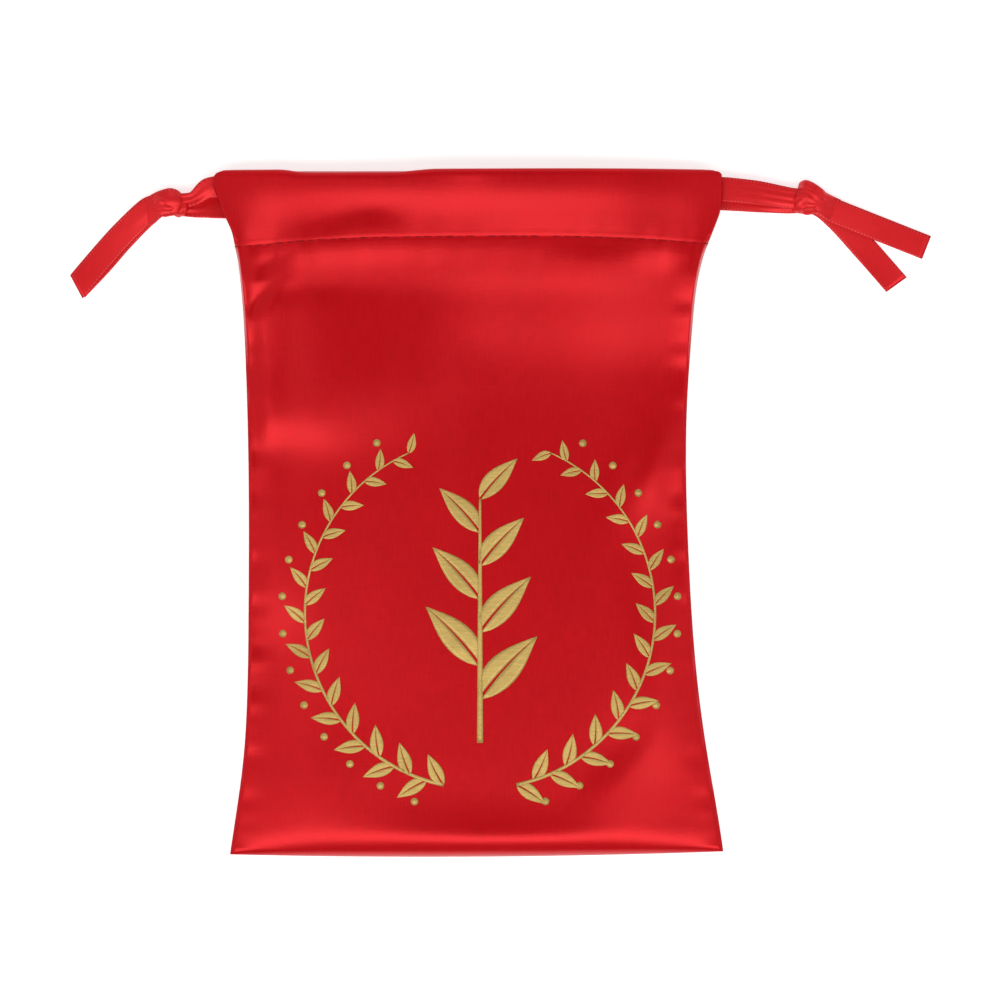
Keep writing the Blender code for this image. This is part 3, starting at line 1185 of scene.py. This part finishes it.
@dataclass
class Stitching:
    """The sewing threads: the line that closes each casing, and the seam up each side."""

    form: PouchForm
    finish: ThreadFinish
    steps: int = 140
    sunk: float = 0.02
    end_gap: float = 0.8
    side_inset: float = 3.0

    def hem_line(self, height: Callable[[Array, Array], Array], out: float) -> Array:
        """The casing's stitch line on one face of the bag.

        Args:
            height: The height of that face's cloth.
            out: How far above the cloth's middle the line lies.

        Returns:
            The line's points.
        """
        form = self.form
        y = np.full(self.steps, form.seam_y)
        ends = form.left(form.seam_y) + self.end_gap, form.right(form.seam_y) - self.end_gap
        x = np.linspace(*ends, self.steps)
        return np.stack([x, y + form.ends(x, y), height(x, y) + out], axis=1)

    def side_line(self, sign: int) -> Array:
        """The seam up one side, inside the bag, where its two turned-in edges are sewn together.

        Args:
            sign: -1 for the left side and 1 for the right.

        Returns:
            The line's points.
        """
        form = self.form
        y = np.linspace(form.fold_y + 5, form.seam_y - 6, self.steps)
        edge = form.left(y) if sign < 0 else form.right(y)
        z = np.full(self.steps, form.seam_height + form.seam_gap + CLOTH)
        return np.stack([edge - sign * self.side_inset, y, z], axis=1)

    def build(self) -> list[bpy.types.Object]:
        """Makes the four threads.

        Returns:
            The pieces.
        """
        tree, material = stitch_tree(), self.finish.build()
        form, out = self.form, CLOTH / 2 - self.sunk
        plans = (
            ("hem_stitches_front", self.hem_line(form.front, out), "hem_thread_front"),
            ("hem_stitches_back", self.hem_line(form.back, -out), "hem_thread_back"),
            ("side_seam_stitches_left", self.side_line(-1), "side_seam_thread_left"),
            ("side_seam_stitches_right", self.side_line(1), "side_seam_thread_right"),
        )
        made = []
        for name, line, node in plans:
            row = tree.along(name, line, material)
            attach(row, BODY)
            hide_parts(node)
            made.append(row)
        return made


# --------------------------------------------------------------------------------------------------
# The ribbons
# --------------------------------------------------------------------------------------------------


@dataclass(frozen=True)
class Sweep:
    """A flat ribbon swept along a route.

    The next four fields say which way the ribbon faces, how wide it is, how far its edges curl down and
    how deep its pleats are. Each holds a value for each of the route's own points, or one for them all.
    The slant is how far the cut end leans.
    """

    route: tuple
    facing: tuple = (UP,)
    width: tuple = (RIBBON_WIDTH,)
    curl: tuple = (0.15,)
    pleats: tuple = (0.0,)
    pleat_count: float = 3.0
    pleat_phase: float = 0.7
    slant: float = 0.0
    slant_rows: int = 8
    steps: int = 10
    across: int = 17
    thickness: float = 0.3

    def spread(self, values: Sequence, count: int) -> Array:
        """Reads the route's own values at all of its points.

        Args:
            values: A value, or a direction, for each of the route's own points, or one for them all.
            count: How many points there are in all.

        Returns:
            The value at each point, in even steps from each own point to the next.
        """
        values = np.asarray(values, float)
        knots, at = np.arange(len(values)), np.linspace(0, len(values) - 1, count)
        if values.ndim == 1:
            return np.interp(at, knots, values)
        return np.stack([np.interp(at, knots, column) for column in values.T], axis=1)

    def build(self, name: str, material: bpy.types.Material) -> tuple[bpy.types.Object, Array]:
        """Makes the ribbon.

        Args:
            name: The piece's name.
            material: Its finish, drawn on a map that runs 0 to 1 across it and in metres along it.

        Returns:
            The piece, and the points that its middle follows.
        """
        line = smooth_route(self.route, self.steps)
        count = len(line)
        along = np.gradient(line, axis=0)
        along /= np.linalg.norm(along, axis=1, keepdims=True)
        up = self.spread(self.facing, count)
        up -= along * (up * along).sum(axis=1, keepdims=True)
        up /= np.linalg.norm(up, axis=1, keepdims=True)
        side = np.cross(along, up)
        width, curl = self.spread(self.width, count)[:, None], self.spread(self.curl, count)[:, None]
        pleats = self.spread(self.pleats, count)[:, None]
        place = np.linspace(-0.5, 0.5, self.across)[None, :]
        wave = np.cos(math.tau * self.pleat_count * place + self.pleat_phase)
        drop = pleats * wave - curl * (2 * place) ** 2
        points = line[:, None] + side[:, None] * (place * width)[..., None] + up[:, None] * drop[..., None]
        near_end = eased(np.arange(count)[:, None], count - self.slant_rows, count - 1)
        shear = -2 * place * self.slant * near_end
        points = points + along[:, None] * shear[..., None]
        made = mesh_object(name, points.reshape(-1, 3), grid_faces(count, self.across), material)
        length = np.r_[0, np.cumsum(np.linalg.norm(np.diff(line, axis=0), axis=1))]
        flat = np.stack(np.broadcast_arrays(place + 0.5, metres(length)[:, None]), axis=-1)
        map_points(made, flat.reshape(-1, 2))
        thicken(made, self.thickness)
        return facing_out(made), line


@dataclass(frozen=True)
class Drawstring:
    """One ribbon: the loop inside the casings, its two free ends, and the knot that holds them.

    The sign is -1 for the ribbon on the left and 1 for the right. The level is 1 where the ribbon lies
    outside the other one in the casings, and -1 where it lies inside. Each free end runs from its casing's
    mouth, at this y, through the knot to the cut tail.
    """

    name: str
    sign: int
    level: int
    front_y: float
    back_y: float
    front_end: Sweep
    back_end: Sweep
    knot: tuple[Sweep, ...]
    knot_at: tuple[float, float, float]
    knot_core: tuple[float, float, float]


@dataclass
class Ribbons:
    """Both drawstrings, whose loops turn round near the casings' far ends, one inside the other."""

    form: PouchForm
    finish: RibbonFinish
    drawstrings: tuple[Drawstring, ...]
    turn_x: float = 59.7
    turn_y: float = 76.4
    turn_bulge: float = 1.6
    apart: float = 0.36
    loop_steps: int = 16

    def mouth_x(self, sign: int, y: float) -> float:
        """X of a casing's mouth at a height along the hem."""
        return float(self.form.left(y) if sign < 0 else self.form.right(y))

    def channel(self, x: Array, y: Array, front: bool) -> tuple[Array, Array]:
        """The middle of a casing's room, and how it slopes across a ribbon that lies in it.

        Args:
            x: Where to read it.
            y: The height along the hem of the ribbon's middle there.
            front: Whether it is the front casing.

        Returns:
            The height of the ribbon's middle, and its climb over a millimetre towards the mouth.
        """
        reach, half = RIBBON_WIDTH * 0.4, self.form.casing_room / 2
        surface, inward = (self.form.front, -half) if front else (self.form.back, half)
        low, high = surface(x, y - reach), surface(x, y + reach)
        return (low + high) / 2 + inward, (high - low) / (2 * reach)

    def loop(self, string: Drawstring) -> Sweep:
        """The hidden loop: in at the front casing's mouth, round its far end and back through the back one.

        Args:
            string: The ribbon that it belongs to.

        Returns:
            The loop, a millimetre inside the mouths at either end.
        """
        start = self.mouth_x(string.sign, string.front_y) - string.sign * 1.0
        share = np.linspace(0, 1, self.loop_steps)
        x = mixed(start, -string.sign * self.turn_x, share)
        lane = eased(share, 0.15, 0.85)
        front_y, back_y = mixed(string.front_y, self.turn_y, lane), mixed(string.back_y, self.turn_y, lane)
        offset = string.level * self.apart
        front_z, front_slope = self.channel(x, front_y, True)
        back_z, _ = self.channel(x, back_y, False)
        front = np.stack([x, front_y, front_z + offset], axis=1)
        back = np.stack([x, back_y, back_z - offset], axis=1)
        high, low = front[-1, 2], back[-1, 2]
        angle = np.radians((45, 90, 135))
        bend = np.stack([
            -string.sign * (self.turn_x + self.turn_bulge * np.sin(angle)),
            np.full(len(angle), self.turn_y),
            (high + low) / 2 + (high - low) / 2 * np.cos(angle),
        ], axis=1)
        route = np.vstack([front, bend, back[::-1]])
        facing = np.vstack([
            np.stack([np.zeros(len(x)), -front_slope, np.ones(len(x))], axis=1),
            np.stack([-string.sign * np.sin(angle), np.zeros(len(angle)), np.cos(angle)], axis=1),
            np.tile((0.0, 0.0, -1.0), (len(x), 1)),
        ])
        return Sweep(tuple(map(tuple, route)), tuple(map(tuple, facing)), curl=(0.0,), steps=4, across=9)

    def core(self, string: Drawstring, material: bpy.types.Material) -> bpy.types.Object:
        """The crumpled middle of the knot, under its wraps.

        Args:
            string: The ribbon that is knotted.
            material: Its finish.

        Returns:
            The core, a ball with lengthwise creases.
        """
        shape = bmesh.new()
        bmesh.ops.create_uvsphere(shape, u_segments=40, v_segments=24, radius=1.0)
        points = np.array([vert.co for vert in shape.verts])
        faces = [[vert.index for vert in face.verts] for face in shape.faces]
        shape.free()
        x, angle = points[:, 0], np.arctan2(points[:, 2], points[:, 1])
        crumple = 1 + 0.05 * np.sin(angle * 7 + x * 3) + 0.04 * np.sin(angle * 4 - x * 6)
        body = points * crumple[:, None] * np.array(string.knot_core) + np.array(string.knot_at)
        made = mesh_object(f"{string.name}_knot_core", body, faces, material)
        map_points(made, np.stack([points[:, 1] * 0.35 + 0.5, x * 0.006], axis=1))
        return facing_out(made)

    def build(self) -> list[bpy.types.Object]:
        """Makes both ribbons, with their free ends running from the casings' mouths out.

        Returns:
            The pieces.
        """
        material = self.finish.build()
        made: list[bpy.types.Object] = []
        for string in self.drawstrings:
            loop, _ = self.loop(string).build(f"{string.name}_loop", material)
            core = self.core(string, material)
            wraps = [
                sweep.build(f"{string.name}_knot_wrap_{number}", material)[0]
                for number, sweep in enumerate(string.knot, 1)
            ]
            own = [loop, core, *wraps]
            for name, end in (("front_end", string.front_end), ("back_end", string.back_end)):
                piece, line = end.build(f"{string.name}_{name}", material)
                own.append(piece)
                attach(piece, BODY)
                metres(line[0]).tolist()
                route_length(line) / 1000
                metres(line).tolist()
            for piece in (loop, core, *wraps):
                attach(piece, BODY)
            for piece in own:
                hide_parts(string.name)
            made += own
        return made


LEFT_STRING = Drawstring(
    name="drawstring_left",
    sign=-1,
    level=1,
    front_y=84.9,
    back_y=80.9,
    front_end=Sweep(
        route=((-63.5, 85.6, 4.8), (-68.5, 85.3, 5.0), (-72.8, 82.4, 4.6), (-79.5, 81.6, 3.9),
               (-84.2, 80.0, 3.0), (-91.2, 73.7, 1.7), (-97.6, 66.7, 1.1), (-103.6, 59.6, 1.2)),
        facing=(UP, (0, -0.15, 1), (0, -0.3, 1), UP, UP, UP, UP, UP),
        width=(6.0, 5.4, 3.6, 4.4, 6.5, 6.5, 6.5, 6.5),
        curl=(0.1, 0.2, 0.6, 0.8, 0.3, 0.1, 0.05, 0.15),
        pleats=(0, 0.03, 0.12, 0.2, 0.04, 0, 0, 0),
        pleat_count=2.0,
        slant=1.3,
    ),
    back_end=Sweep(
        route=((-62.5, 80.8, 2.0), (-68.0, 80.8, 2.0), (-73.0, 80.4, 2.4), (-79.5, 80.9, 2.4),
               (-84.4, 79.2, 1.6), (-91.2, 72.8, 0.7), (-97.2, 66.0, 0.45), (-102.9, 60.0, 0.45)),
        facing=(UP, (0, 0.2, 1), (0, 0.2, 1), UP, UP, UP, UP, UP),
        width=(6.5, 6.4, 5.0, 4.4, 6.3, 6.5, 6.5, 6.5),
        curl=(0.1, 0.1, 0.3, 0.5, 0.2, 0.1, 0.0, 0.0),
        pleats=(0, 0.03, 0.15, 0.2, 0.04, 0, 0, 0),
        pleat_count=2.0,
        slant=1.3,
    ),
    knot=(
        Sweep(
            route=((-86.2, 78.2, 1.9), (-82.2, 81.0, 4.5), (-78.6, 81.9, 5.7),
                   (-75.9, 81.4, 4.9), (-74.3, 80.8, 2.8)),
            facing=((-0.2, 0.1, 1.0), (-0.2, 0.1, 1.0), (0.0, 0.0, 1.0),
                    (0.5, 0.0, 0.8), (0.9, -0.1, 0.3)),
            width=(6.3, 6.5, 6.9, 6.0, 3.8),
            curl=(0.3, 0.7, 1.2, 1.2, 0.9),
            pleats=(0.0, 0.05, 0.12, 0.14, 0.1),
            pleat_count=1.6,
        ),
        Sweep(
            route=((-75.4, 82.6, 2.8), (-74.6, 81.6, 4.2), (-74.5, 80.0, 4.6),
                   (-75.2, 78.6, 3.8), (-76.4, 78.0, 2.0)),
            facing=((0.3, 1.0, 0.3), (0.5, 0.6, 0.8), (0.6, 0.0, 0.9),
                    (0.6, -0.7, 0.6), (0.3, -1.0, 0.2)),
            width=(1.6, 2.0, 2.2, 2.6, 2.6),
            curl=(0.4, 0.5, 0.6, 0.7, 0.6),
            pleats=(0.0, 0.04, 0.06, 0.05, 0.0),
        ),
    ),
    knot_at=(-79.2, 81.3, 3.2),
    knot_core=(4.3, 3.3, 2.5),
)

RIGHT_STRING = Drawstring(
    name="drawstring_right",
    sign=1,
    level=-1,
    front_y=85.2,
    back_y=83.4,
    front_end=Sweep(
        route=((63.5, 85.2, 4.6), (68.5, 84.9, 4.8), (76.0, 84.1, 4.9), (84.0, 82.8, 4.6),
               (90.0, 82.0, 3.8), (97.0, 79.2, 2.6), (108.0, 75.0, 1.1), (120.7, 70.0, 0.8)),
        width=(6.5, 6.5, 6.3, 5.6, 5.4, 6.5, 6.5, 6.5),
        curl=(0.1, 0.1, 0.1, 0.3, 0.6, 0.1, 0.05, 0.05),
        pleats=(0, 0, 0.02, 0.08, 0.08, 0, 0, 0),
        pleat_count=3.4,
    ),
    back_end=Sweep(
        route=((62.5, 83.2, 2.0), (68.5, 82.9, 2.0), (76.0, 82.4, 2.2), (84.0, 81.8, 2.4),
               (90.2, 81.6, 2.4), (96.0, 78.6, 1.4), (104.6, 69.6, 0.5), (112.8, 60.2, 0.7)),
        width=(6.5, 6.5, 6.4, 5.8, 5.2, 6.4, 6.6, 6.6),
        curl=(0.1, 0.1, 0.1, 0.3, 0.5, 0.1, 0.0, -0.25),
        pleats=(0, 0, 0.03, 0.14, 0.1, 0, 0, 0),
        slant=0.3,
    ),
    knot=(
        Sweep(
            route=((86.5, 85.0, 3.2), (88.0, 85.1, 5.7), (90.6, 83.5, 6.5),
                   (93.0, 81.6, 5.2), (97.0, 79.6, 2.0)),
            facing=((-0.8, 0.2, 0.5), (-0.3, 0.2, 1.0), (0.0, 0.1, 1.0),
                    (0.2, 0.1, 1.0), (0.3, 0.0, 1.0)),
            width=(4.6, 5.0, 5.2, 5.6, 6.3),
            curl=(0.5, 0.5, 0.6, 0.5, 0.3),
            pleats=(0.05, 0.08, 0.08, 0.05, 0.0),
        ),
        Sweep(
            route=((91.6, 82.4, 4.8), (88.8, 82.6, 5.9), (86.3, 81.4, 5.2),
                   (85.8, 79.5, 3.6), (88.9, 78.9, 2.4)),
            facing=((0.2, 0.0, 1.0), (0.0, -0.1, 1.0), (-0.5, -0.1, 0.9),
                    (-0.7, -0.6, 0.4), (0.0, -1.0, 0.2)),
            width=(3.4, 4.4, 4.8, 4.6, 3.6),
            curl=(0.5, 0.7, 0.8, 0.9, 0.9),
            pleats=(0.1, 0.12, 0.1, 0.1, 0.1),
        ),
    ),
    knot_at=(89.9, 82.2, 3.5),
    knot_core=(4.4, 3.7, 2.9),
)


# --------------------------------------------------------------------------------------------------
# The print
# --------------------------------------------------------------------------------------------------


@dataclass
class GoldPrint:
    """A plain garland in gold ink on the front: two leafy arcs with berries, and an upright sprig between.

    Each arc runs between two angles round the print's middle. Widths run from a stem's foot to its tip. The
    sprig's reach is how far it goes below and above the middle.
    """

    cloth: bpy.types.Object
    finish: GoldInkFinish
    centre: tuple[float, float] = (2.9, -26.3)
    arcs: tuple[tuple[str, float, float], ...] = (("right", -78.0, 66.0), ("left", 258.0, 114.0))
    radius: float = 46.0
    berries_out: float = 6.2
    berries_inset: float = 0.05
    stem_widths: tuple[float, ...] = (0.9, 0.6, 0.35)
    sprig_widths: tuple[float, ...] = (1.6, 1.2, 0.6)
    sprig_reach: tuple[float, float] = (34.0, 30.0)
    sprig_steps: int = 34
    bare_steps: int = 6
    ink: float = 0.06
    above: float = 0.05
    drop_from: float = 0.05

    def arc(self, radius: float, first: float, last: float, step: float = 2.0) -> Array:
        """Points along a circle round the print's middle.

        Args:
            radius: The circle's radius.
            first: The angle of the first point, in degrees.
            last: The angle of the last.
            step: About how many degrees apart they are.

        Returns:
            The points.
        """
        count = max(int(abs(last - first) / step), 2) + 1
        angle = np.radians(np.linspace(first, last, count))
        x, y = self.centre
        return np.stack([x + radius * np.cos(angle), y + radius * np.sin(angle), np.zeros(count)], axis=1)

    def stroke(self, line: Array, widths: Sequence[float], across: int = 3) -> tuple[Array, Array]:
        """A flat line of varying width.

        Args:
            line: The line's middle.
            widths: Its widths at even places from its start to its end.
            across: How many points it has across it.

        Returns:
            Its points and its faces.
        """
        along = np.gradient(line, axis=0)
        along /= np.linalg.norm(along, axis=1, keepdims=True)
        side = np.stack([-along[:, 1], along[:, 0], np.zeros(len(line))], axis=1)
        width = np.interp(np.linspace(0, 1, len(line)), np.linspace(0, 1, len(widths)), widths)
        place = np.linspace(-0.5, 0.5, across)
        points = line[:, None] + side[:, None] * (width[:, None] * place)[..., None]
        return points.reshape(-1, 3), grid_faces(len(line), across)

    def lay(self, made: bpy.types.Object) -> bpy.types.Object:
        """Lays a flat shape on the cloth and gives it the ink's thickness.

        Args:
            made: The flat shape.

        Returns:
            The same object, as a finished piece.
        """
        tree = BVHTree.FromObject(self.cloth, bpy.context.evaluated_depsgraph_get())
        for vert in made.data.vertices:
            hit = tree.ray_cast(Vector((vert.co.x, vert.co.y, self.drop_from)), -Vector(UP))[0]
            if hit is not None:
                vert.co.z = hit.z + self.above / 1000
        thicken(made, self.ink, -1.0)
        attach(facing_out(made), BODY)
        return made

    def build(self) -> list[bpy.types.Object]:
        """Makes the whole print.

        Returns:
            The pieces.
        """
        material, leaves, spots = self.finish.build(), leaf_tree(), berry_tree()
        flat = []
        for name, first, last in self.arcs:
            stem = self.arc(self.radius, first, last)
            flat.append(mesh_object(f"print_stem_{name}", *self.stroke(stem, self.stem_widths), material))
            flat.append(leaves.along(f"print_leaves_{name}", stem, material))
            ends = mixed(first, last, self.berries_inset), mixed(first, last, 1 - self.berries_inset)
            berries = self.arc(self.radius + self.berries_out, *ends)
            flat.append(spots.along(f"print_berries_{name}", berries, material))
        x, y = self.centre
        up = np.linspace(y - self.sprig_reach[0], y + self.sprig_reach[1], self.sprig_steps)
        line = np.stack([np.full(len(up), x), up, np.zeros(len(up))], axis=1)
        flat.append(mesh_object("print_sprig_stem", *self.stroke(line, self.sprig_widths), material))
        flat.append(leaves.along(
            "print_sprig_leaves", line[self.bare_steps:], material,
            Pitch=0.0085, Length=0.022, Width=0.0080, Vein=0.0004, Splay=0.62, Taper=0.35,
        ))
        return [self.lay(piece) for piece in flat]


# --------------------------------------------------------------------------------------------------
# The studio
# --------------------------------------------------------------------------------------------------


@dataclass(frozen=True)
class SoftLight:
    """A studio light, aimed at the pouch. Its size is its width and height."""

    name: str
    place: tuple[float, float, float]
    size: tuple[float, float]
    power: float

    def build(self, target: Vector) -> None:
        """Puts the light in the scene.

        Args:
            target: Where it shines.
        """
        data = bpy.data.lights.new(self.name, "AREA")
        data.shape = "RECTANGLE"
        data.size, data.size_y = self.size
        data.energy = self.power
        made = bpy.data.objects.new(self.name, data)
        made.location = self.place
        made.rotation_euler = (target - Vector(self.place)).to_track_quat("-Z", "Y").to_euler()
        bpy.context.scene.collection.objects.link(made)


@dataclass
class Studio:
    """A pale floor, soft lights and a camera straight above. Its places and sizes are in metres."""

    floor: FloorFinish
    lens: float = 135.0
    sensor: float = 36.0
    field: float = 0.263
    aim: tuple[float, float, float] = (0.00815, 0.0034, 0.004)
    floor_size: float = 3.0
    room_light: float = 0.22
    lights: tuple[SoftLight, ...] = (
        SoftLight("key_softbox", (0.0, -0.60, 1.16), (2.0, 0.62), 15.3),
        SoftLight("left_fill", (-1.25, 0.1, 0.95), (2.2, 1.8), 7.0),
        SoftLight("right_fill", (1.25, 0.1, 0.95), (2.2, 1.8), 7.0),
        SoftLight("back_fill", (0.0, 1.3, 0.7), (1.2, 1.2), 4.5),
    )

    def camera(self) -> None:
        """The camera, straight above, with the mouth of the pouch at the top of the picture."""
        data = bpy.data.cameras.new("camera")
        data.lens = self.lens
        data.sensor_width = self.sensor
        made = bpy.data.objects.new("camera", data)
        height = self.field * self.lens / self.sensor
        made.location = (self.aim[0], self.aim[1], self.aim[2] + height)
        bpy.context.scene.collection.objects.link(made)
        bpy.context.scene.camera = made

    def build(self) -> None:
        """The floor, the lights and the even light of the room."""
        half = self.floor_size * 1000 / 2
        corners = np.array([(-half, -half, 0), (half, -half, 0), (half, half, 0), (-half, half, 0)])
        ground = mesh_object("floor", corners, [(0, 1, 2, 3)], self.floor.build())
        for light in self.lights:
            light.build(Vector(self.aim))
        world = bpy.data.worlds.new("room")
        world.use_nodes = True
        background = world.node_tree.nodes["Background"]
        background.inputs["Color"].default_value = (1.0, 1.0, 1.0, 1.0)
        background.inputs["Strength"].default_value = self.room_light
        bpy.context.scene.world = world
        bpy.context.scene.view_settings.view_transform = "Standard"


def main() -> None:
    """Builds the pouch around the frame."""
    logging.basicConfig(level=logging.INFO, format="%(name)s: %(message)s")
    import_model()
    studio = Studio(FloorFinish("pale_card", (0.74, 0.74, 0.74, 1.0)))
    studio.camera()
    form = PouchForm.from_frame()
    ribbon = RibbonFinish(
        "red_ribbon", light=(0.74, 0.008, 0.012, 1.0), deep=(0.56, 0.004, 0.008, 1.0),
        roughness=0.42, gloss=0.35,
    )
    ribbons = Ribbons(form, ribbon, (LEFT_STRING, RIGHT_STRING)).build()
    satin = SatinFinish(
        "red_satin", light=(0.61, 0.001, 0.006, 1.0), deep=(0.43, 0.001, 0.004, 1.0),
        roughness=0.34, gloss=0.22,
    )
    bag = SatinBag(form, satin).build()
    # The thread's red is darker than the satin's: partly its own colour, partly painted shade of the needle
    # holes that it sinks into.
    threads = Stitching(form, ThreadFinish("red_thread", (0.26, 0.002, 0.006, 1.0))).build()
    gold = GoldInkFinish("gold_ink", light=(0.66, 0.46, 0.14, 1.0), deep=(0.36, 0.24, 0.06, 1.0))
    ink = GoldPrint(bag, gold).build()
    studio.build()
    for piece in (*ribbons, bag, *threads, *ink):
        log.info("%s: %d faces", piece.name, len(piece.data.polygons))
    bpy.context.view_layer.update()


if __name__ == "__main__":
    main()
